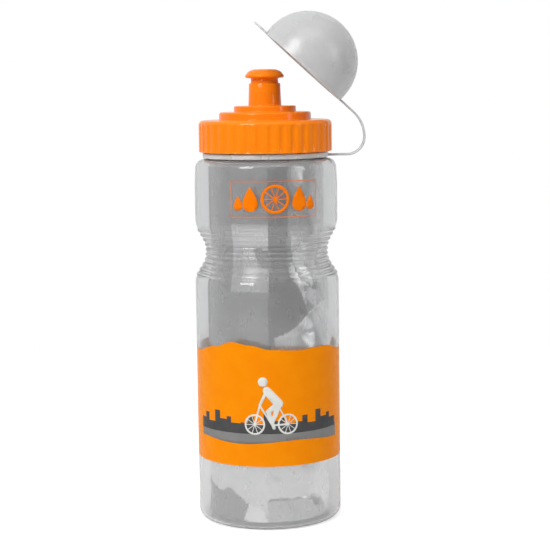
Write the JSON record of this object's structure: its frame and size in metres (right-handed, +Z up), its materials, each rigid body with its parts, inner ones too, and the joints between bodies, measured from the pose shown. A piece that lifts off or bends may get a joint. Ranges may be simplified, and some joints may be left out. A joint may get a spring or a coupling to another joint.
{
  "type": "water bottle",
  "caption": "Insulated clear double-wall sports bottle with a foil liner, a fluted screw lid, a push-pull spout and a dome dust cover that swings on a strap.",
  "frame": {"origin": "on the bottle's axis, at the plane that its base stands on", "axes": "+Z up along the bottle's axis, -Y towards the front with the printed badge, +X towards the dust cover's strap"},
  "size_m": [0.0872, 0.0732, 0.2574],
  "materials": {
    "shell_clear": "clear gloss",
    "inner_clear": "clear gloss",
    "foil": "metallised film, mirror with creases",
    "print_orange": "printed ink",
    "lid_orange": "satin gloss",
    "seal_white": "matte",
    "valve_orange": "satin",
    "cover_frosted": "translucent, soft gloss"
  },
  "bodies": {
    "bottle": {"outer_shell": "shell_clear", "inner_bottle": "inner_clear", "neck_thread": "inner_clear", "foil_wrap": "foil", "foil_base": "foil", "printed_band": "print_orange", "printed_badge": "print_orange"},
    "lid_carrier": {"lid_seal": "seal_white"},
    "lid": {"screw_lid": "lid_orange", "lid_thread": "lid_orange", "valve_post": "valve_orange"},
    "spout": {"spout": "lid_orange", "spout_seal": "seal_white"},
    "strap_ring": {"strap_ring": "cover_frosted"},
    "strap_link": {"strap_link": "cover_frosted"},
    "dust_cover": {"dust_cover": "cover_frosted"}
  },
  "joints": [
    {"name": "lid_lift", "type": "slide", "parent": "bottle", "child": "lid_carrier", "axis": [0, 0, 1], "range_m": [0, 0.0075]},
    {"name": "lid_turn", "type": "hinge", "parent": "lid_carrier", "child": "lid", "pos_m": [0, 0, 0.195], "axis": [0, 0, 1], "range_deg": [0, 540]},
    {"name": "spout_pull", "type": "slide", "parent": "lid", "child": "spout", "axis": [0, 0, 1], "range_m": [-0.0016, 0.0022]},
    {"name": "ring_turn", "type": "hinge", "parent": "lid_carrier", "child": "strap_ring", "pos_m": [0, 0, 0.186], "axis": [0, 0, 1], "continuous": true},
    {"name": "cover_swing", "type": "hinge", "parent": "strap_ring", "child": "strap_link", "pos_m": [0.0408, 0, 0.1854], "axis": [0, -1, 0], "range_deg": [-43.5, 26.64], "stiffness_Nm_per_rad": 0.05, "springref_deg": -0.61},
    {"name": "strap_bend", "type": "hinge", "parent": "strap_link", "child": "dust_cover", "pos_m": [0.0487, 0, 0.20095], "axis": [0, -1, 0], "range_deg": [-26.31, 16.1], "stiffness_Nm_per_rad": 0.03, "springref_deg": -1.71}
  ],
  "couplings": [
    {"joint": "lid_turn", "follows": "lid_lift", "rad_per_m": 1256.6},
    {"joint": "strap_bend", "follows": "cover_swing", "ratio": 0.60252}
  ]
}
